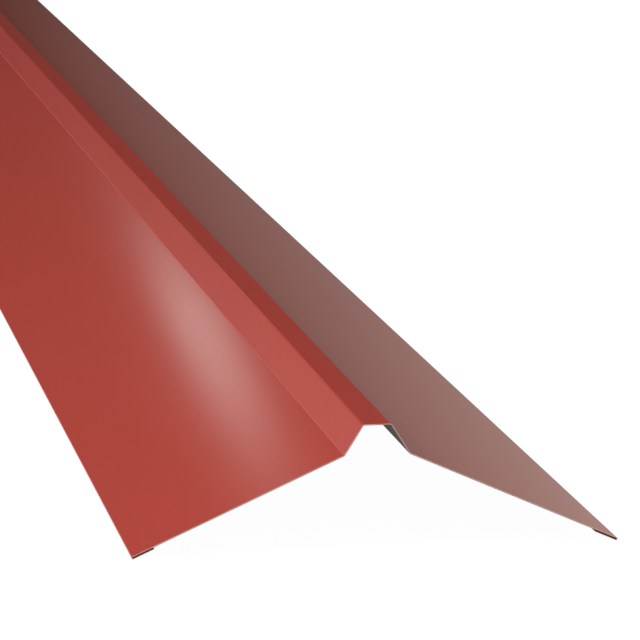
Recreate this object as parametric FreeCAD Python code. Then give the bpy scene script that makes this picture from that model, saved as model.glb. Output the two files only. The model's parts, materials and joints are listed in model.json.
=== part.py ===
import FreeCAD, Part
import math
import os

# Roof ridge cap: one strip of painted steel sheet, folded along its length.
# The section is a low trapezoidal ridge with a flat wing on each side, and each wing's edge is hemmed under.
# Millimetres. X runs across the roof, Y along the ridge and Z up.
# The origin is on the floor under the middle of the cap, which stands on its two hems.

LENGTH = 3000.0  # along the ridge
SHEET = 0.5  # sheet thickness, paint included
WING_WIDTH = 115.0  # down the slope, from the foot of the ridge to the outside of the hem
WING_SLOPE = math.radians(24.0)  # below level
RIDGE_FOOT_WIDTH = 33.0  # between the corners where the wings meet the ridge
RIDGE_TOP_WIDTH = 14.0  # between the corners of the flat top
RIDGE_HEIGHT = 15.0  # from the foot corners up to the flat top
BEND_RADIUS = 1.0  # inside every bend of the ridge
HEM_WIDTH = 12.0  # strip turned back under the wing, from the outside of the fold to the cut edge
HEM_GAP = 0.5  # left open inside the hem

HEM_RADIUS = HEM_GAP / 2 + SHEET  # outside of the hem's fold
DOWN_WING = FreeCAD.Vector(math.cos(WING_SLOPE), 0, -math.sin(WING_SLOPE))
OFF_WING = FreeCAD.Vector(math.sin(WING_SLOPE), 0, math.cos(WING_SLOPE))
WING_FLAT = WING_WIDTH - HEM_RADIUS  # from the foot corner to where the fold begins
FOOT_HEIGHT = WING_FLAT * math.sin(WING_SLOPE) + HEM_RADIUS * math.cos(WING_SLOPE) + HEM_RADIUS


def mirrored(point):
    """The same point on the other side of the ridge."""
    return FreeCAD.Vector(-point.x, point.y, point.z)


def ridge_corners():
    """Sharp corners of the painted face on the +X side: the flat top's edge and the ridge's foot."""
    top = FreeCAD.Vector(RIDGE_TOP_WIDTH / 2, 0, FOOT_HEIGHT + RIDGE_HEIGHT)
    foot = FreeCAD.Vector(RIDGE_FOOT_WIDTH / 2, 0, FOOT_HEIGHT)
    return top, foot


def hem_points():
    """The painted face on the +X side, from the start of the fold round to the cut edge."""
    fold_start = ridge_corners()[1] + DOWN_WING * WING_FLAT
    fold_middle = fold_start + (DOWN_WING - OFF_WING) * HEM_RADIUS
    fold_end = fold_start - OFF_WING * (2 * HEM_RADIUS)
    cut_edge = fold_end - DOWN_WING * (HEM_WIDTH - HEM_RADIUS)
    return fold_start, fold_middle, fold_end, cut_edge


def bend(before, corner, after, radius):
    """The arc that rounds a corner, touching the runs to the points before and after it."""
    inward = (before - corner).normalize()
    onward = (after - corner).normalize()
    half_turn = (math.pi - inward.getAngle(onward)) / 2
    setback = radius * math.tan(half_turn)
    depth = radius / math.cos(half_turn) - radius
    middle = corner + (inward + onward).normalize() * depth
    return Part.Arc(corner + inward * setback, middle, corner + onward * setback)


def painted_line():
    """The painted face's section, from one cut edge over the ridge to the other."""
    top, foot = ridge_corners()
    fold_start, fold_middle, fold_end, cut_edge = hem_points()
    top_bend = bend(mirrored(top), top, foot, BEND_RADIUS + SHEET)
    foot_bend = bend(top, foot, fold_start, BEND_RADIUS)
    hem_fold = Part.Arc(fold_start, fold_middle, fold_end)
    right = [
        top_bend,
        Part.LineSegment(top_bend.EndPoint, foot_bend.StartPoint),
        foot_bend,
        Part.LineSegment(foot_bend.EndPoint, fold_start),
        hem_fold,
        Part.LineSegment(fold_end, cut_edge),
    ]
    flat_top = Part.LineSegment(mirrored(top_bend.StartPoint), top_bend.StartPoint)
    right_edges = [curve.toShape() for curve in right]
    left_edges = [edge.mirror(FreeCAD.Vector(), FreeCAD.Vector(1, 0, 0)) for edge in right_edges]
    return Part.Wire(Part.__sortEdges__([*left_edges, flat_top.toShape(), *right_edges]))


def ridge_cap():
    """The folded sheet: the painted line thickened towards its underside and drawn out along the ridge."""
    section = painted_line().makeOffset2D(SHEET, fill=True, openResult=True)
    section.translate(FreeCAD.Vector(0, -LENGTH / 2, 0))
    return section.extrude(FreeCAD.Vector(0, LENGTH, 0))


cap = ridge_cap()
os.makedirs("parts", exist_ok=True)
cap.exportStep("parts/ridge_cap.step")
box = cap.BoundBox
print("solids", len(cap.Solids), "valid", cap.isValid(), "volume", round(cap.Volume, 1))
print("size", [round(side, 2) for side in (box.XLength, box.YLength, box.ZLength)], "lowest", round(box.ZMin, 4))
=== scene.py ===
"""Roof ridge cap: the looks of one folded and painted steel sheet, and the stage that shows it."""
import json
import math

import bpy
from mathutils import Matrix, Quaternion, Vector


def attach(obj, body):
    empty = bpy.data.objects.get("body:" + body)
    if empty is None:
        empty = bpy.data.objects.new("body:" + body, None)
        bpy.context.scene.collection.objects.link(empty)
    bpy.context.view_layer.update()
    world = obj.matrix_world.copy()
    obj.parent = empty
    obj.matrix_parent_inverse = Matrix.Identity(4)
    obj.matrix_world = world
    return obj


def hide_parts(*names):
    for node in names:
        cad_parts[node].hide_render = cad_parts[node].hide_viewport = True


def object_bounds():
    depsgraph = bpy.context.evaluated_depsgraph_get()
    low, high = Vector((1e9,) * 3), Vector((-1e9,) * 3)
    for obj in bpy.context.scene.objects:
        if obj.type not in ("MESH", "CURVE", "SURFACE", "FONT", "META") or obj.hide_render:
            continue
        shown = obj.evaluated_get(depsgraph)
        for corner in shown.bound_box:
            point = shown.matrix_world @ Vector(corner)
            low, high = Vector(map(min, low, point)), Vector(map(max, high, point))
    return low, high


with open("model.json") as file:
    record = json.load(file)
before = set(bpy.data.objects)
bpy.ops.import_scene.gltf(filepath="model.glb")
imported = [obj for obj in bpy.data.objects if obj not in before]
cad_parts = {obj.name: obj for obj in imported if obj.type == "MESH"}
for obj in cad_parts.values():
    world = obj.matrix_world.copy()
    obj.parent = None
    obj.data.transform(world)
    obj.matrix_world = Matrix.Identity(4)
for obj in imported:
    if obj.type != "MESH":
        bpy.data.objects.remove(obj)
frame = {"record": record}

bl_info = {
    "name": "Roof Ridge Cap",
    "version": (1, 0, 0),
    "blender": (4, 5, 0),
    "location": "View3D > Sidebar > Ridge Cap",
    "description": "Folds a painted steel ridge cap in place of its frame and sets up a plain stage",
    "category": "Object",
}

NODE = "ridge_cap"
BODY = "root"
TEXTURE_MAP = "OFBake"  # the name of the sheet's own texture map

CAD_LOW, CAD_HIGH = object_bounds()
MILLIMETRE = 0.001

SHEET = 0.5 * MILLIMETRE
RIDGE_HEIGHT = 15 * MILLIMETRE
HEM_GAP = 0.5 * MILLIMETRE
SENSOR_WIDTH = 36.0  # of the camera, in millimetres as Blender counts it


def wing_slope():
    """Slope of the wings, from the frame's mount on the right wing."""
    wing = next(mount for mount in frame["record"]["mounts"] if mount["name"] == "right_wing_face")
    return math.atan2(wing["axis"][0], wing["axis"][2])


def wing_width(slope):
    """Width of a wing that carries a ridge of RIDGE_HEIGHT up to the frame's full height."""
    hem_radius = HEM_GAP / 2 + SHEET
    rise = CAD_HIGH[2] - CAD_LOW[2] - RIDGE_HEIGHT - hem_radius * (1 + math.cos(slope))
    return hem_radius + rise / math.sin(slope)


def length_property(name, description, default):
    """A length in metres that the sidebar shows with its unit."""
    return bpy.props.FloatProperty(
        name=name, description=description, default=default, min=0, precision=5, unit="LENGTH")


def colour_property(name, description, default):
    """A linear colour."""
    return bpy.props.FloatVectorProperty(
        name=name, description=description, default=default, size=3, min=0, max=1, subtype="COLOR")


def factor_property(name, description, default):
    """A share from 0 to 1."""
    return bpy.props.FloatProperty(
        name=name, description=description, default=default, min=0, max=1, precision=4, subtype="FACTOR")


class SheetSizes(bpy.types.PropertyGroup):
    """Sizes of the folded sheet."""
    length: length_property("Length", "Length of the cap along its ridge", CAD_HIGH[1] - CAD_LOW[1])
    sheet: length_property("Sheet", "Thickness of the painted steel", SHEET)
    wing_width: length_property(
        "Wing Width", "Width of a wing from the ridge to the fold of its hem", wing_width(wing_slope()))
    wing_slope: bpy.props.FloatProperty(
        name="Wing Slope", description="Slope of both wings", default=wing_slope(), subtype="ANGLE")
    foot_width: length_property("Foot Width", "Width of the ridge at the wings", 33 * MILLIMETRE)
    top_width: length_property("Top Width", "Width of the ridge's flat top", 14 * MILLIMETRE)
    ridge_height: length_property("Ridge Height", "Height of the flat top over the wings", RIDGE_HEIGHT)
    bend_radius: length_property("Bend Radius", "Inside radius of the ridge's bends", 1 * MILLIMETRE)
    hem_width: length_property("Hem Width", "Width of the hem turned back under a wing", 12 * MILLIMETRE)
    hem_gap: length_property("Hem Gap", "Open gap between a hem and its wing", HEM_GAP)
    cut_rounding: length_property("Cut Rounding", "Width of the rounded edge that the shear leaves",
                                  0.04 * MILLIMETRE)
    bend_steps: bpy.props.IntProperty(
        name="Bend Steps", description="Points along each ridge bend and each quarter of a hem's fold",
        default=12, min=2)
    length_steps: bpy.props.IntProperty(
        name="Length Steps", description="Divisions along the ridge", default=60, min=1)


class CoatFinishes(bpy.types.PropertyGroup):
    """Colours and gloss of the sheet's coats and of its cut edges."""
    top_coat: colour_property("Top Coat", "Red paint on the outside", (0.42, 0.055, 0.04))
    # Back coat: a dark grey lacquer, made darker still as painted shade of the cap's underside and the
    # hem's gap
    back_coat_and_shade: colour_property("Back Coat", "Dark grey lacquer on the underside", (0.074, 0.070, 0.052))
    zinc: colour_property("Zinc", "Zinc layer between the coats and the steel", (0.55, 0.56, 0.57))
    steel: colour_property("Steel", "Burnished steel of the cut edges", (0.90, 0.70, 0.63))
    # Torn steel is duller than burnished steel, and its dark red tone is also painted shade, standing in
    # for the shade in the hem's gap
    torn_steel_and_shade: colour_property(
        "Torn Steel", "Torn steel with paint dragged over it", (0.34, 0.11, 0.08))
    top_roughness: factor_property("Top Roughness", "Roughness of the red paint", 0.168)
    back_roughness: factor_property("Back Roughness", "Roughness of the grey lacquer", 0.9)
    cut_roughness: factor_property("Cut Roughness", "Roughness of the cut edges", 0.4)
    haze: factor_property("Haze", "Weight of the wide, dull gloss round the red paint's highlights", 0.3)
    haze_roughness: factor_property("Haze Roughness", "Roughness of that wide gloss", 0.29)
    pressed_roughness: factor_property(
        "Pressed Roughness", "Roughness that paint gains where the folding tool presses a bend", 0.33)


class StageSettings(bpy.types.PropertyGroup):
    """Camera, lamps and surroundings."""
    camera_place: bpy.props.FloatVectorProperty(
        name="Camera Place", description="Where the camera stands", default=(-0.3422, -3.3287, 0.4430),
        size=3, subtype="TRANSLATION", unit="LENGTH")
    camera_heading: bpy.props.FloatProperty(
        name="Camera Heading", description="Turn of the view from +Y towards +X",
        default=math.radians(9.737), subtype="ANGLE")
    camera_dip: bpy.props.FloatProperty(
        name="Camera Dip", description="How far the camera looks down",
        default=math.radians(10.0145), subtype="ANGLE")
    lens: bpy.props.FloatProperty(
        name="Lens", description=f"Focal length on a sensor {SENSOR_WIDTH:g} mm wide", default=218.8,
        subtype="DISTANCE_CAMERA")
    surroundings: colour_property("Surroundings", "Even light from all round", (0.79, 0.79, 0.79))
    floor: colour_property("Floor", "Pale floor", (0.8, 0.8, 0.8))
    key_power: bpy.props.FloatProperty(
        name="Key Power", description="Power of the soft lamp on the left", default=475, unit="POWER")
    glint_power: bpy.props.FloatProperty(
        name="Glint Power", description="Power of the small lamp behind that the left wing mirrors",
        default=0.052, unit="POWER")


class NodeMaker:
    """Adds nodes to a tree. A value that is itself a socket is linked, and any other value is set."""

    def __init__(self, tree):
        self.tree = tree

    def feed(self, socket, value):
        """Links or sets one input."""
        if isinstance(value, bpy.types.NodeSocket):
            self.tree.links.new(value, socket)
        else:
            socket.default_value = value

    def add(self, kind, inputs=None, **settings):
        """A new node with its settings made and its inputs fed."""
        node = self.tree.nodes.new(kind)
        for name, value in settings.items():
            setattr(node, name, value)
        for socket, value in (inputs or {}).items():
            self.feed(node.inputs[socket], value)
        return node

    def math(self, operation, *values):
        """The result of an operation on numbers."""
        return self.add("ShaderNodeMath", dict(enumerate(values)), operation=operation).outputs[0]

    def vector(self, operation, *values):
        """The result of an operation on vectors."""
        return self.add("ShaderNodeVectorMath", dict(enumerate(values)), operation=operation).outputs[0]

    def scaled(self, vector, scale):
        """A vector times a number."""
        node = self.add("ShaderNodeVectorMath", {0: vector, "Scale": scale}, operation="SCALE")
        return node.outputs[0]

    def point(self, x, y, z):
        """A vector from its three numbers."""
        return self.add("ShaderNodeCombineXYZ", {0: x, 1: y, 2: z}).outputs[0]

    def split(self, vector):
        """The three numbers of a vector."""
        return self.add("ShaderNodeSeparateXYZ", {0: vector}).outputs

    def noise(self, place, scale, detail):
        """Noise from 0 to 1, with scale in repeats to the metre."""
        inputs = {"Vector": place, "Scale": scale, "Detail": detail}
        return self.add("ShaderNodeTexNoise", inputs).outputs[0]

    def pick(self, data_type, index, values):
        """The value at one place of a list."""
        node = self.add("GeometryNodeIndexSwitch", data_type=data_type)
        while len(node.index_switch_items) < len(values):
            node.index_switch_items.new()
        self.feed(node.inputs[0], index)
        for number, value in enumerate(values, start=1):
            self.feed(node.inputs[number], value)
        return node.outputs[0]

    def compare(self, operation, a, b):
        """Whether two numbers compare as the operation says."""
        return self.add("FunctionNodeCompare", {0: a, 1: b}, operation=operation).outputs[0]

    def store(self, geometry, name, value, data_type, domain):
        """The geometry with a value stored on it by name."""
        node = self.add("GeometryNodeStoreNamedAttribute", {"Geometry": geometry, "Name": name},
                        data_type=data_type, domain=domain)
        self.feed(node.inputs["Value"], value)
        return node.outputs[0]

    def stored(self, name):
        """A number that was stored by name."""
        return self.add("GeometryNodeInputNamedAttribute", {"Name": name}, data_type="FLOAT").outputs[0]

    def worked_out_on(self, domain, value):
        """A number as the points, edges or faces have it."""
        return self.add("GeometryNodeFieldOnDomain", {0: value}, domain=domain).outputs[0]

    def range(self, value, source, target, kind="LINEAR"):
        """A number moved from one range to another and held within it."""
        names = ("From Min", "From Max", "To Min", "To Max")
        inputs = dict(zip(names, (*source, *target)))
        node = self.add("ShaderNodeMapRange", {"Value": value, **inputs}, interpolation_type=kind)
        return node.outputs[0]


SHEET_SOCKETS = {
    "length": "NodeSocketFloat",
    "sheet": "NodeSocketFloat",
    "wing_width": "NodeSocketFloat",
    "wing_slope": "NodeSocketFloat",
    "foot_width": "NodeSocketFloat",
    "top_width": "NodeSocketFloat",
    "ridge_height": "NodeSocketFloat",
    "bend_radius": "NodeSocketFloat",
    "hem_width": "NodeSocketFloat",
    "hem_gap": "NodeSocketFloat",
    "bend_steps": "NodeSocketInt",
    "length_steps": "NodeSocketInt",
}
COAT_SOCKETS = ("top_coat", "back_coat_and_shade", "cut_edge")

WELD_DISTANCE = 0.001 * MILLIMETRE
CUT_ANGLE = math.radians(40)  # cut edges turn more than this, and the facets of a bend less

# Depth runs from 0 on the sheet's painted side to 1 on its back, and cut faces lie between these
PAINTED_DEPTH = 0.25
BACK_DEPTH = 0.75

# Bands of the texture map, as shares of its height
TOP_BAND = (0.01, 0.47)
BACK_BAND = (0.50, 0.78)
CUT_BAND_START = 0.805
CUT_BAND_STEP = 0.05
CUT_BAND_WIDTH = 0.04
POINT_SHARE = 0.4  # of a band's height goes by points, and the rest by length
END_SHARE = 0.4999  # of the length: faces further than this from the middle are cut ends


def folded_sheet_tree():
    """Tree that folds a strip of sheet along its length into two hems, two wings and the ridge."""
    tree = bpy.data.node_groups.new("Folded Sheet", "GeometryNodeTree")
    tree.is_modifier = True
    tree.interface.new_socket("Sheet", in_out="OUTPUT", socket_type="NodeSocketGeometry")
    for name, kind in SHEET_SOCKETS.items():
        tree.interface.new_socket(name, in_out="INPUT", socket_type=kind)
    for name in COAT_SOCKETS:
        tree.interface.new_socket(name, in_out="INPUT", socket_type="NodeSocketMaterial")
    make = NodeMaker(tree)
    given = make.add("NodeGroupInput").outputs
    ribbon = cut_section(make, given, painted_line(make, given))
    folded = swept_sheet(make, given, ribbon)
    coated = coats(make, given, folded)
    make.add("NodeGroupOutput", {0: coated})
    return tree


def painted_line(make, given):
    """Outline of the painted side across the cap, with its bends rounded, upright in the XZ plane."""
    cosine = make.math("COSINE", given["wing_slope"])
    sine = make.math("SINE", given["wing_slope"])
    hem_radius = make.math("MULTIPLY_ADD", given["hem_gap"], 0.5, given["sheet"])
    wing_rise = make.math("MULTIPLY", make.math("SUBTRACT", given["wing_width"], hem_radius), sine)
    hem_rise = make.math("MULTIPLY_ADD", hem_radius, cosine, hem_radius)
    foot_height = make.math("ADD", wing_rise, hem_rise)
    top_height = make.math("ADD", foot_height, given["ridge_height"])

    # Corners of the right half, before rounding, from the ridge out and under to the hem's cut edge
    down_wing = make.point(cosine, 0, make.math("MULTIPLY", sine, -1))
    off_wing = make.point(sine, 0, cosine)
    top = make.point(make.math("MULTIPLY", given["top_width"], 0.5), 0, top_height)
    foot = make.point(make.math("MULTIPLY", given["foot_width"], 0.5), 0, foot_height)
    outer = make.vector("ADD", foot, make.scaled(down_wing, given["wing_width"]))
    under = make.vector("SUBTRACT", outer, make.scaled(off_wing, make.math("MULTIPLY", hem_radius, 2)))
    hem_edge = make.vector("SUBTRACT", under, make.scaled(down_wing, given["hem_width"]))
    corners = (top, foot, outer, under, hem_edge)
    top_radius = make.math("ADD", given["bend_radius"], given["sheet"])
    radii = (top_radius, given["bend_radius"], hem_radius, hem_radius, 0.0)

    # The left half mirrors them, so corner numbers count out from the middle on both sides
    index = make.add("GeometryNodeInputIndex").outputs[0]
    from_middle = make.math("SUBTRACT", index, len(corners) - 0.5)
    number = make.math("SUBTRACT", make.math("ABSOLUTE", from_middle), 0.5)
    side = make.math("SIGN", from_middle)
    place = make.vector("MULTIPLY", make.pick("VECTOR", number, corners), make.point(side, 1, 1))
    strip = make.add("GeometryNodeCurvePrimitiveLine").outputs[0]
    strip = make.add("GeometryNodeResampleCurve", {"Curve": strip, "Count": 2 * len(corners)}).outputs[0]
    folded = make.add("GeometryNodeSetPosition", {"Geometry": strip, "Position": place}).outputs[0]
    radius = make.worked_out_on("POINT", make.pick("FLOAT", number, radii))
    rounded = make.add("GeometryNodeFilletCurve", {"Curve": folded}, mode="POLY")
    make.feed(rounded.inputs["Count"], given["bend_steps"])
    make.feed(rounded.inputs["Radius"], radius)
    return rounded.outputs[0]


def cut_section(make, given, painted):
    """The cut end: a ribbon as wide as the sheet is thick, with depth 0 on its painted side."""
    tangent = make.add("GeometryNodeInputTangent").outputs[0]
    inward = make.vector("CROSS_PRODUCT", tangent, (0, -1, 0))
    held = make.add("GeometryNodeCaptureAttribute", {"Geometry": painted}, domain="POINT")
    held.capture_items.new("VECTOR", "inward")
    make.feed(held.inputs["inward"], inward)
    held.capture_items.new("FLOAT", "across")
    make.feed(held.inputs["across"], share_across(make, painted))
    edges = make.add("GeometryNodeCurveToMesh", {"Curve": held.outputs["Geometry"]}).outputs[0]
    ribbon = make.add("GeometryNodeExtrudeMesh", {"Mesh": edges, "Offset Scale": 0.0}, mode="EDGES")
    thick = make.add("GeometryNodeSetPosition", {"Geometry": ribbon.outputs["Mesh"]})
    make.feed(thick.inputs["Selection"], ribbon.outputs["Top"])
    make.feed(thick.inputs["Offset"], make.scaled(held.outputs["inward"], given["sheet"]))
    deep = make.store(thick.outputs[0], "depth", ribbon.outputs["Top"], "FLOAT", "POINT")
    return make.store(deep, "across", held.outputs["across"], "FLOAT", "POINT")


def share_across(make, painted):
    """From 0 to 1 along the painted line, partly by length and partly by points, to give bends room."""
    by_length, _, number = make.add("GeometryNodeSplineParameter").outputs
    size = make.add("GeometryNodeAttributeDomainSize", {"Geometry": painted}, component="CURVE")
    by_points = make.math("DIVIDE", number, make.math("SUBTRACT", size.outputs["Point Count"], 1))
    length_part = make.math("MULTIPLY", by_length, 1 - POINT_SHARE)
    return make.math("MULTIPLY_ADD", by_points, POINT_SHARE, length_part)


def swept_sheet(make, given, ribbon):
    """The ribbon's outline drawn along the ridge, closed by the ribbon itself at both cut ends."""
    half = make.math("MULTIPLY", given["length"], 0.5)
    near = make.point(0, make.math("MULTIPLY", half, -1), 0)
    far = make.point(0, half, 0)
    path = make.add("GeometryNodeCurvePrimitiveLine", {"Start": near, "End": far}).outputs[0]
    divided = make.add("GeometryNodeResampleCurve", {"Curve": path})
    make.feed(divided.inputs["Count"], make.math("ADD", given["length_steps"], 1))

    rim = make.compare("EQUAL", make.add("GeometryNodeInputMeshEdgeNeighbors").outputs[0], 1)
    outline = make.add("GeometryNodeMeshToCurve", {"Mesh": ribbon, "Selection": rim}).outputs[0]
    lying = make.add("GeometryNodeTransform", {"Geometry": outline, "Rotation": (math.pi / 2, 0, 0)})
    walls = make.add("GeometryNodeCurveToMesh", {"Curve": divided.outputs[0]})
    make.feed(walls.inputs["Profile Curve"], lying.outputs[0])
    near_end = make.add("GeometryNodeTransform", {"Geometry": ribbon, "Translation": near}).outputs[0]
    far_end = make.add("GeometryNodeTransform", {"Geometry": ribbon, "Translation": far}).outputs[0]
    far_end = make.add("GeometryNodeFlipFaces", {"Mesh": far_end}).outputs[0]
    joined = make.add("GeometryNodeJoinGeometry")
    for part in (walls.outputs[0], near_end, far_end):
        make.feed(joined.inputs[0], part)
    welded = make.add("GeometryNodeMergeByDistance", {"Geometry": joined.outputs[0]})
    make.feed(welded.inputs["Distance"], WELD_DISTANCE)
    return welded.outputs[0]


def inside_of_bends(make, given, turn, cut):
    """1 on the narrow facets round the inside of a bend, which the folding tool presses, else 0."""
    step = make.math("DIVIDE", given["length"], given["length_steps"])
    area = make.add("GeometryNodeInputMeshFaceArea").outputs[0]
    narrow = make.compare("LESS_THAN", area, make.math("MULTIPLY", step, given["sheet"]))
    bent = make.math("MULTIPLY", turn, make.math("SUBTRACT", 1.0, cut))
    concave = make.compare("LESS_THAN", make.worked_out_on("EDGE", bent), 0.0)
    return make.math("MULTIPLY", narrow, concave)


def texture_place(make, given):
    """The sheet laid out flat, with a wide band for each coat and a narrow one for each cut edge."""
    x, y, _ = make.split(make.add("GeometryNodeInputPosition").outputs[0])
    along = make.math("ADD", make.math("DIVIDE", y, given["length"]), 0.5)
    across = make.stored("across")
    depth = make.stored("depth")

    # Layer 0 is the top coat, 1 a cut edge and 2 the back coat
    layer = make.math("ROUND", make.math("MULTIPLY", make.worked_out_on("FACE", depth), 2))

    # Cut edges 0 and 1 are the near and far ends, 2 and 3 those of the left and right hem
    from_middle = make.math("ABSOLUTE", make.math("SUBTRACT", along, 0.5))
    at_end = make.compare("GREATER_THAN", make.worked_out_on("FACE", from_middle), END_SHARE)
    hem_number = make.math("ADD", make.compare("GREATER_THAN", x, 0), 2)
    end_number = make.compare("GREATER_THAN", y, 0)
    cut_number = make.pick("FLOAT", at_end, (hem_number, end_number))
    cut_along = make.pick("FLOAT", at_end, (along, across))
    cut_band = make.math("MULTIPLY_ADD", cut_number, CUT_BAND_STEP, CUT_BAND_START)

    top_height = make.range(across, (0, 1), TOP_BAND)
    back_height = make.range(across, (0, 1), BACK_BAND)
    cut_height = make.math("MULTIPLY_ADD", depth, CUT_BAND_WIDTH, cut_band)
    height = make.pick("FLOAT", layer, (top_height, cut_height, back_height))
    return make.point(make.pick("FLOAT", layer, (along, cut_along, along)), height, 0)


def coats(make, given, folded):
    """Smooth bends, sharp cut edges, a mark on the inside of bends, and a coat by the stored depth."""
    smooth = make.add("GeometryNodeSetShadeSmooth", {"Geometry": folded}).outputs[0]
    angle, turn = make.add("GeometryNodeInputMeshEdgeAngle").outputs
    sharp = make.add("GeometryNodeSetShadeSmooth", {"Geometry": smooth, "Shade Smooth": False},
                     domain="EDGE")
    cut = make.compare("GREATER_THAN", angle, CUT_ANGLE)
    make.feed(sharp.inputs["Selection"], cut)
    pressed = inside_of_bends(make, given, turn, cut)
    marked = make.store(sharp.outputs[0], "pressed", pressed, "FLOAT", "FACE")
    mapped = make.store(marked, TEXTURE_MAP, texture_place(make, given), "FLOAT2", "CORNER")
    plain = make.add("GeometryNodeRealizeInstances", {"Geometry": mapped}).outputs[0]
    depth = make.stored("depth")
    edged = make.add("GeometryNodeSetMaterial", {"Geometry": plain, "Material": given["cut_edge"]})
    painted = make.add("GeometryNodeSetMaterial", {"Geometry": edged.outputs[0]})
    make.feed(painted.inputs["Material"], given["top_coat"])
    make.feed(painted.inputs["Selection"], make.compare("LESS_THAN", depth, PAINTED_DEPTH))
    backed = make.add("GeometryNodeSetMaterial", {"Geometry": painted.outputs[0]})
    make.feed(backed.inputs["Material"], given["back_coat_and_shade"])
    make.feed(backed.inputs["Selection"], make.compare("GREATER_THAN", depth, BACK_DEPTH))
    return backed.outputs[0]


# Patterns in the coats, with their scales in repeats to the metre
STREAK_STRETCH = (1, 0.02, 1)
STREAK_SCALE = 260
STREAK_SHARE = 0.4  # of the mottle is streaks, and the rest is clouds
CLOUD_SCALE = 9

# Layers that a cut lays open, as depths through the sheet
PAINT_END = 0.06
ZINC_END = 0.10
BACK_ZINC_START = 0.92
BACK_COAT_START = 0.96

# Where burnished steel gives way to torn steel, as depths, and how uneven the tear is
TEAR_RANGE = (0.36, 0.48)
TEAR_WANDER = 0.3
TEAR_MOTTLE = 0.28
TEAR_ROUGHNESS = 0.15
TEAR_HEIGHT = 0.01 * MILLIMETRE
TEAR_GRAIN_SCALE = 9000


def coil_coat_group():
    """Shader group of a rolled lacquer: streaks along the coil, cloudy gloss, dull bends, fine peel."""
    group = bpy.data.node_groups.new("Coil Coat", "ShaderNodeTree")
    for name, kind in (("Colour", "NodeSocketColor"), ("Tone Variation", "NodeSocketFloat"),
                       ("Roughness", "NodeSocketFloat"), ("Roughness Variation", "NodeSocketFloat"),
                       ("Peel Width", "NodeSocketFloat"), ("Pressed Roughness", "NodeSocketFloat")):
        group.interface.new_socket(name, in_out="INPUT", socket_type=kind)
    for name, kind in (("Colour", "NodeSocketColor"), ("Roughness", "NodeSocketFloat"),
                       ("Height", "NodeSocketFloat")):
        group.interface.new_socket(name, in_out="OUTPUT", socket_type=kind)
    make = NodeMaker(group)
    given = make.add("NodeGroupInput").outputs
    place = make.add("ShaderNodeTexCoord").outputs["Object"]

    # Streaks are long along the coil, which is the cap's length
    stretched = make.vector("MULTIPLY", place, STREAK_STRETCH)
    streaks = make.noise(stretched, STREAK_SCALE, detail=3)
    clouds = make.noise(place, CLOUD_SCALE, detail=2)
    peel = make.noise(place, make.math("DIVIDE", 1.0, given["Peel Width"]), detail=1)

    cloud_part = make.math("MULTIPLY", clouds, 1 - STREAK_SHARE)
    mottle = make.math("MULTIPLY_ADD", streaks, STREAK_SHARE, cloud_part)
    shift = make.math("MULTIPLY", make.math("SUBTRACT", mottle, 0.5), given["Tone Variation"])
    toned = make.scaled(given["Colour"], make.math("ADD", shift, 1.0))
    rough_shift = make.math("MULTIPLY", make.math("SUBTRACT", clouds, 0.5), given["Roughness Variation"])
    pressed = make.add("ShaderNodeAttribute", attribute_name="pressed").outputs["Fac"]
    dulled = make.math("MULTIPLY_ADD", pressed, given["Pressed Roughness"], given["Roughness"])
    roughness = make.math("ADD", dulled, rough_shift)
    make.add("NodeGroupOutput", {"Colour": toned, "Roughness": roughness, "Height": peel})
    return group


def new_material(name):
    """An empty node material and its maker."""
    material = bpy.data.materials.new(name)
    material.use_nodes = True
    material.node_tree.nodes.clear()
    return material, NodeMaker(material.node_tree)


def with_alpha(colour):
    """A colour with the full alpha that a node's socket takes."""
    return (*colour, 1.0)


def coat_material(name, group, coat, peel_height, haze, haze_roughness):
    """A coat of lacquer on the sheet, where coat gives the coil coat group's inputs by name."""
    material, make = new_material(name)
    pattern = make.add("ShaderNodeGroup", coat, node_tree=group).outputs
    bump = make.add("ShaderNodeBump", {"Strength": 1.0, "Distance": peel_height})
    make.feed(bump.inputs["Height"], pattern["Height"])
    lacquer = make.add("ShaderNodeBsdfPrincipled", {"IOR": 1.5, "Coat Weight": haze})
    make.feed(lacquer.inputs["Coat Roughness"], haze_roughness)
    make.feed(lacquer.inputs["Base Color"], pattern["Colour"])
    make.feed(lacquer.inputs["Roughness"], pattern["Roughness"])
    make.feed(lacquer.inputs["Normal"], bump.outputs[0])
    make.add("ShaderNodeOutputMaterial", {"Surface": lacquer.outputs[0]})
    return material


def top_coat_material(group, finishes):
    """Red semi-gloss paint, with a haze round its highlights and duller bends."""
    coat = {
        "Colour": with_alpha(finishes.top_coat),
        "Tone Variation": 0.05,
        "Roughness": finishes.top_roughness,
        "Roughness Variation": 0.02,
        "Peel Width": 2 * MILLIMETRE,
        "Pressed Roughness": finishes.pressed_roughness,
    }
    return coat_material("red_top_coat", group, coat, peel_height=0.0008 * MILLIMETRE,
                         haze=finishes.haze, haze_roughness=finishes.haze_roughness)


def back_coat_material(group, finishes):
    """Dull grey lacquer without a haze, its dark tone partly painted shade of the cap's underside."""
    coat = {
        "Colour": with_alpha(finishes.back_coat_and_shade),
        "Tone Variation": 0.12,
        "Roughness": finishes.back_roughness,
        "Roughness Variation": 0.10,
        "Peel Width": 1 * MILLIMETRE,
        "Pressed Roughness": 0.0,
    }
    return coat_material("grey_back_coat", group, coat, peel_height=0.004 * MILLIMETRE,
                         haze=0.0, haze_roughness=finishes.back_roughness)


def cut_layers(make, depth, finishes):
    """Colour of the layers that a cut lays open: paint, zinc, steel, zinc and back coat."""
    layers = make.add("ShaderNodeValToRGB", {"Fac": depth})
    ramp = layers.color_ramp
    ramp.interpolation = "CONSTANT"
    stops = ((0.0, finishes.top_coat), (PAINT_END, finishes.zinc), (ZINC_END, finishes.steel),
             (BACK_ZINC_START, finishes.zinc), (BACK_COAT_START, finishes.back_coat_and_shade))
    while len(ramp.elements) < len(stops):
        ramp.elements.new(1.0)
    for element, (position, colour) in zip(ramp.elements, stops):
        element.position = position
        element.color = with_alpha(colour)
    return layers.outputs["Color"]


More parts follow.
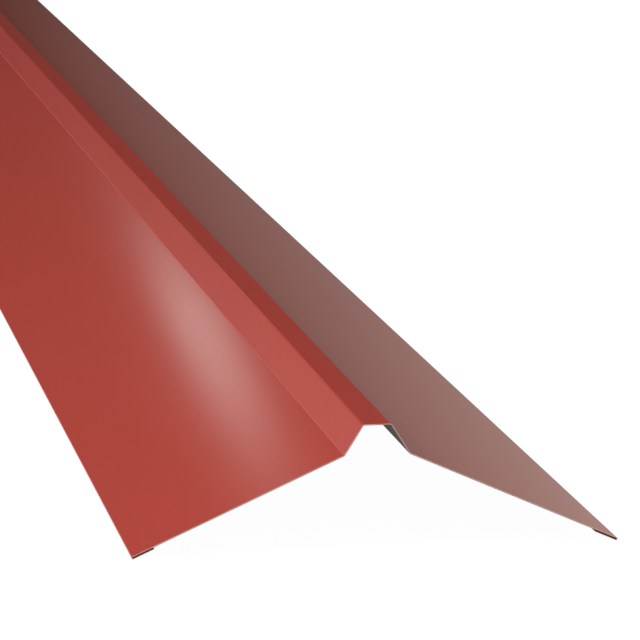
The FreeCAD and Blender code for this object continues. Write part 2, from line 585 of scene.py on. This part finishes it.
def cut_edge_material(finishes):
    """Sheared steel between its coats, burnished where the shear went in and torn beyond, with the torn
    part darkened as painted shade.
    """
    material, make = new_material("cut_steel_edge")
    depth = make.add("ShaderNodeAttribute", attribute_name="depth").outputs["Fac"]
    place = make.add("ShaderNodeTexCoord").outputs["Object"]
    grain = make.noise(place, TEAR_GRAIN_SCALE, detail=3)
    ragged = make.math("MULTIPLY_ADD", make.math("SUBTRACT", grain, 0.5), TEAR_WANDER, depth)
    torn = make.range(ragged, TEAR_RANGE, (0.0, 1.0), "SMOOTHSTEP")

    # Torn steel is darker and redder, partly as painted shade for the hem's gap, and its grain makes it
    # patchy
    patches = make.math("MULTIPLY_ADD", grain, -TEAR_MOTTLE, 1 + TEAR_MOTTLE / 2)
    tear_and_shade_loss = [1 - dark / light for dark, light in zip(finishes.torn_steel_and_shade, finishes.steel)]
    kept = make.vector("SUBTRACT", (1, 1, 1), make.scaled(tear_and_shade_loss, make.math("MULTIPLY", torn, patches)))
    toned = make.vector("MULTIPLY", cut_layers(make, depth, finishes), kept)

    under_paint = make.math("GREATER_THAN", depth, PAINT_END)
    is_metal = make.math("MULTIPLY", under_paint, make.math("LESS_THAN", depth, BACK_COAT_START))
    roughness = make.math("MULTIPLY_ADD", torn, TEAR_ROUGHNESS, finishes.cut_roughness)
    tear = make.add("ShaderNodeBump", {"Strength": 1.0, "Distance": TEAR_HEIGHT})
    make.feed(tear.inputs["Height"], make.math("MULTIPLY", grain, torn))
    steel = make.add("ShaderNodeBsdfPrincipled")
    make.feed(steel.inputs["Base Color"], toned)
    make.feed(steel.inputs["Metallic"], is_metal)
    make.feed(steel.inputs["Roughness"], roughness)
    make.feed(steel.inputs["Normal"], tear.outputs[0])
    make.add("ShaderNodeOutputMaterial", {"Surface": steel.outputs[0]})
    return material


def sheet_materials(finishes):
    """The sheet's three materials by the names of the tree's inputs."""
    group = coil_coat_group()
    return {
        "top_coat": top_coat_material(group, finishes),
        "back_coat_and_shade": back_coat_material(group, finishes),
        "cut_edge": cut_edge_material(finishes),
    }


class RIDGECAP_OT_folded_sheet(bpy.types.Operator):
    """Fold the painted sheet and put it in place of the frame's solid"""
    bl_idname = "ridgecap.folded_sheet"
    bl_label = "Folded Sheet"

    def execute(self, context):
        sizes = context.scene.ridge_cap_sizes
        sheet = bpy.data.objects.new("folded_sheet", bpy.data.meshes.new("folded_sheet"))
        context.collection.objects.link(sheet)
        self.fold(sheet, sizes, sheet_materials(context.scene.ridge_cap_finishes))
        self.round_cut_edges(sheet, sizes)
        self.keep_flats_flat(sheet)
        evaluated = sheet.evaluated_get(context.evaluated_depsgraph_get())
        mesh = bpy.data.meshes.new_from_object(evaluated)
        sheet.modifiers.clear()
        sheet.data = mesh
        mesh.name = "folded_sheet"
        if len(mesh.polygons) == 0:
            raise RuntimeError("the folded sheet came out empty")
        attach(sheet, BODY)
        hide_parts(NODE)
        return {"FINISHED"}

    def fold(self, sheet, sizes, materials):
        """Sets the tree's inputs by their identifiers."""
        tree = folded_sheet_tree()
        folding = sheet.modifiers.new("Folded Sheet", "NODES")
        folding.node_group = tree
        for socket in tree.interface.items_tree:
            if socket.in_out == "INPUT":
                value = materials.get(socket.name) or getattr(sizes, socket.name)
                folding[socket.identifier] = value

    def round_cut_edges(self, sheet, sizes):
        """The shear leaves no perfectly sharp edge, so a thin rounded line catches the light."""
        rounding = sheet.modifiers.new("Cut Rounding", "BEVEL")
        rounding.width = sizes.cut_rounding
        rounding.segments = 2
        rounding.limit_method = "ANGLE"
        rounding.angle_limit = CUT_ANGLE

    def keep_flats_flat(self, sheet):
        """Shading normals follow the large flats, so the small facets of a bend don't tilt them."""
        weighting = sheet.modifiers.new("Flat Normals", "WEIGHTED_NORMAL")
        weighting.mode = "FACE_AREA"
        weighting.weight = 100
        weighting.keep_sharp = True


WHITE = (1.0, 1.0, 1.0)
WARM_WHITE = (1.0, 1.0, 0.9)
GLINT_WHITE = (0.88, 1.0, 0.95)

# Floor: where it is seen it glows, and a dark diffuse part takes the shadow
FLOOR_REACH = 60.0
FLOOR_GLOW = 0.98
FLOOR_SHADE = (0.04, 0.04, 0.04)

# Round wall, with the heights between which its level changes
WALL_RADIUS = 6.0
WALL_HEIGHT = 6.0
WALL_SIDES = 128
WALL_FADE = (1.0, WALL_HEIGHT)
WALL_LEVELS = (0.3, 1.0)

# Dark card behind the far end, with the stretches over which its corner and its foot change
BACK_CARD_PLACE = CAD_HIGH[1] + 0.15
BACK_CARD_REACH = 3.0
BACK_CARD_HEIGHT = 2.0
CORNER_ACROSS = (-0.15, -0.85)
CORNER_CURVE = 1.5
CORNER_UP = (0.25, 0.8)
CORNER_LEVELS = (0.12, 0.012)
FOOT_UP = (0.1, 0.3)
FOOT_LEVELS = (0.03, 0.01)

# Low card on the right, whose level falls off with the distance from a place before the near end
SIDE_CARD_PLACE = CAD_HIGH[0] + 2.18 * MILLIMETRE
SIDE_CARD_NEAR = CAD_LOW[1] - 0.1
SIDE_CARD_HEIGHT = 0.12
SIDE_GLOW = 0.46
SIDE_GLOW_START = -2.6
SIDE_GLOW_LOSS = 0.05
SIDE_GLOW_SHARES = (1.07, 0.27)  # at its foot and at its top

# Lamps
KEY_PLACE = (-6.08, -2.24, 4.68)
KEY_AIM = (0.0, 0.0, 0.0)
KEY_SIZE = (3.0, 3.0)
GLINT_PLACE = (-0.1445, 1.395, 0.630)
GLINT_AIM = (-0.034, -1.166, 0.04)
GLINT_SIZE = (0.065, 0.175)
GLINT_ROLL = math.radians(-15.7)


def flat_mesh(name, corners):
    """One flat face."""
    mesh = bpy.data.meshes.new(name)
    mesh.from_pydata(corners, [], [range(len(corners))])
    return mesh


def seen_or_not(make, seen, unseen):
    """One shader where the camera sees it, also in gloss or through glass, and one for other rays."""
    path = make.add("ShaderNodeLightPath").outputs
    share = make.math("ADD", path["Is Camera Ray"], path["Is Glossy Ray"])
    share = make.math("ADD", share, path["Is Transmission Ray"])
    shaders = {1: unseen.outputs[0], 2: seen.outputs[0]}
    return make.add("ShaderNodeMixShader", {0: share, **shaders}).outputs[0]


def floor_material(colour):
    """Pale floor. Where it is seen it is white and keeps a faint shadow."""
    material, make = new_material("pale_floor")
    pale = make.add("ShaderNodeBsdfDiffuse", {"Color": with_alpha(colour)})
    shade = make.add("ShaderNodeBsdfDiffuse", {"Color": with_alpha(FLOOR_SHADE)})
    glow = make.add("ShaderNodeEmission", {"Color": with_alpha(WHITE), "Strength": FLOOR_GLOW})
    white = make.add("ShaderNodeAddShader", {0: glow.outputs[0], 1: shade.outputs[0]})
    make.add("ShaderNodeOutputMaterial", {"Surface": seen_or_not(make, white, pale)})
    material.cycles.emission_sampling = "NONE"
    return material


def glow_material(name, colour, make_level):
    """A card that glows by a level worked out from its Object coordinates."""
    material, make = new_material(name)
    level = make_level(make, make.add("ShaderNodeTexCoord").outputs["Object"])
    glow = make.add("ShaderNodeEmission", {"Color": with_alpha(colour), "Strength": level})
    make.add("ShaderNodeOutputMaterial", {"Surface": glow.outputs[0]})
    material.cycles.emission_sampling = "NONE"
    return material


def wall_level(make, place):
    """Grey near the floor, and white with the surroundings above."""
    _, _, z = make.split(place)
    return make.range(z, WALL_FADE, WALL_LEVELS, "SMOOTHSTEP")


def back_card_level(make, place):
    """Nearly black, a little lighter near the floor, with a grey corner low on the left."""
    x, _, z = make.split(place)
    left = make.math("POWER", make.range(x, CORNER_ACROSS, (0.0, 1.0)), CORNER_CURVE)
    low = make.range(z, CORNER_UP, CORNER_LEVELS)
    foot = make.range(z, FOOT_UP, FOOT_LEVELS)
    return make.math("MULTIPLY_ADD", left, low, foot)


def side_card_level(make, place):
    """Brightest low at the near end, and falling off towards the far end."""
    _, y, z = make.split(place)
    distance = make.math("SUBTRACT", y, SIDE_GLOW_START)
    along = make.math("SUBTRACT", make.math("DIVIDE", SIDE_GLOW, distance), SIDE_GLOW_LOSS)
    return make.math("MULTIPLY", along, make.range(z, (0.0, SIDE_CARD_HEIGHT), SIDE_GLOW_SHARES))


class RIDGECAP_OT_stage(bpy.types.Operator):
    """Set up the floor, the surroundings, the lamps and the camera"""
    bl_idname = "ridgecap.stage"
    bl_label = "Stage"

    def execute(self, context):
        settings = context.scene.ridge_cap_stage
        self.world(context, settings)
        self.floor(context, settings)
        self.wall(context)
        self.back_card(context)
        self.side_card(context)
        self.lamp(context, "left_key", KEY_PLACE, KEY_AIM, KEY_SIZE, roll=0.0, colour=WHITE,
                  power=settings.key_power)
        self.lamp(context, "glint", GLINT_PLACE, GLINT_AIM, GLINT_SIZE, roll=GLINT_ROLL,
                  colour=GLINT_WHITE, power=settings.glint_power)
        self.camera(context, settings)
        context.scene.view_settings.view_transform = "Standard"
        return {"FINISHED"}

    def world(self, context, settings):
        """Even light from all round."""
        world = bpy.data.worlds.new("surroundings")
        world.use_nodes = True
        world.node_tree.nodes.clear()
        make = NodeMaker(world.node_tree)
        light = make.add("ShaderNodeBackground", {"Color": with_alpha(settings.surroundings)})
        white = make.add("ShaderNodeBackground", {"Color": with_alpha(WHITE)})
        make.add("ShaderNodeOutputWorld", {"Surface": seen_or_not(make, white, light)})
        world.cycles.sampling_method = "NONE"
        context.scene.world = world

    def floor(self, context, settings):
        """The floor that the cap stands on."""
        reach = FLOOR_REACH
        corners = [(-reach, -reach, 0), (reach, -reach, 0), (reach, reach, 0), (-reach, reach, 0)]
        floor = bpy.data.objects.new("floor", flat_mesh("floor", corners))
        floor.data.materials.append(floor_material(settings.floor))
        context.collection.objects.link(floor)

    def wall(self, context):
        """A round wall that only gloss shows, so that the paint has something to mirror."""
        turns = [2 * math.pi * side / WALL_SIDES for side in range(WALL_SIDES)]
        ring = [(WALL_RADIUS * math.cos(turn), WALL_RADIUS * math.sin(turn)) for turn in turns]
        places = [(x, y, z) for z in (0.0, WALL_HEIGHT) for x, y in ring]
        faces = []
        for side in range(WALL_SIDES):
            following = (side + 1) % WALL_SIDES
            faces.append((following, side, side + WALL_SIDES, following + WALL_SIDES))
        mesh = bpy.data.meshes.new("studio_wall")
        mesh.from_pydata(places, [], faces)
        self.card(context, "studio_wall", mesh, glow_material("studio_wall", WHITE, wall_level))

    def back_card(self, context):
        """A dark card behind the far end, which keeps the gloss deep and takes light off that end."""
        reach, y, height = BACK_CARD_REACH, BACK_CARD_PLACE, BACK_CARD_HEIGHT
        corners = [(reach, y, 0), (-reach, y, 0), (-reach, y, height), (reach, y, height)]
        mesh = flat_mesh("back_card", corners)
        card = self.card(context, "back_card", mesh, glow_material("back_card", WHITE, back_card_level))
        card.visible_diffuse = True

    def side_card(self, context):
        """A low card along the right wing up to the card behind, mirrored at a grazing angle."""
        x, near, far, height = SIDE_CARD_PLACE, SIDE_CARD_NEAR, BACK_CARD_PLACE, SIDE_CARD_HEIGHT
        corners = [(x, far, 0), (x, near, 0), (x, near, height), (x, far, height)]
        mesh = flat_mesh("side_card", corners)
        self.card(context, "side_card", mesh, glow_material("side_card", WARM_WHITE, side_card_level))

    def card(self, context, name, mesh, material):
        """Adds a card that shows only in gloss."""
        card = bpy.data.objects.new(name, mesh)
        mesh.materials.append(material)
        context.collection.objects.link(card)
        card.visible_camera = False
        card.visible_diffuse = False
        card.visible_transmission = False
        card.visible_shadow = False
        return card

    def lamp(self, context, name, place, aim, size, roll, colour, power):
        """A round or oval soft lamp that the camera doesn't see, rolled about its own axis."""
        light = bpy.data.lights.new(name, "AREA")
        light.shape = "ELLIPSE"
        light.color = colour
        light.size, light.size_y = size
        light.energy = power
        lamp = bpy.data.objects.new(name, light)
        lamp.location = place
        aimed = (Vector(aim) - Vector(place)).to_track_quat("-Z", "Y")
        lamp.rotation_euler = (aimed @ Quaternion((0, 0, 1), roll)).to_euler()
        lamp.visible_camera = False
        context.collection.objects.link(lamp)

    def camera(self, context, settings):
        """The photograph's view."""
        lens = bpy.data.cameras.new("camera")
        lens.sensor_fit = "HORIZONTAL"
        lens.sensor_width = SENSOR_WIDTH
        lens.lens = settings.lens
        camera = bpy.data.objects.new("camera", lens)
        camera.location = settings.camera_place
        camera.rotation_euler = (math.pi / 2 - settings.camera_dip, 0, -settings.camera_heading)
        context.collection.objects.link(camera)
        context.scene.camera = camera


class RIDGECAP_PT_sidebar(bpy.types.Panel):
    """Sizes, finishes and stage of the ridge cap, with the steps that build them"""
    bl_idname = "RIDGECAP_PT_sidebar"
    bl_label = "Roof Ridge Cap"
    bl_space_type = "VIEW_3D"
    bl_region_type = "UI"
    bl_category = "Ridge Cap"

    def draw(self, context):
        groups = {
            RIDGECAP_OT_folded_sheet: (context.scene.ridge_cap_sizes, context.scene.ridge_cap_finishes),
            RIDGECAP_OT_stage: (context.scene.ridge_cap_stage,),
        }
        for step, settings in groups.items():
            box = self.layout.box()
            box.operator(step.bl_idname)
            for group in settings:
                for name in group.__annotations__:
                    box.prop(group, name)


CLASSES = (SheetSizes, CoatFinishes, StageSettings, RIDGECAP_OT_folded_sheet, RIDGECAP_OT_stage,
           RIDGECAP_PT_sidebar)
SETTINGS = {
    "ridge_cap_sizes": SheetSizes,
    "ridge_cap_finishes": CoatFinishes,
    "ridge_cap_stage": StageSettings,
}


def register():
    for cls in CLASSES:
        bpy.utils.register_class(cls)
    for name, group in SETTINGS.items():
        setattr(bpy.types.Scene, name, bpy.props.PointerProperty(type=group))


def unregister():
    for name in SETTINGS:
        delattr(bpy.types.Scene, name)
    for cls in reversed(CLASSES):
        bpy.utils.unregister_class(cls)


def main():
    """Builds the cap and its stage."""
    register()
    bpy.ops.ridgecap.folded_sheet()
    bpy.ops.ridgecap.stage()


if __name__ == "__main__":
    main()
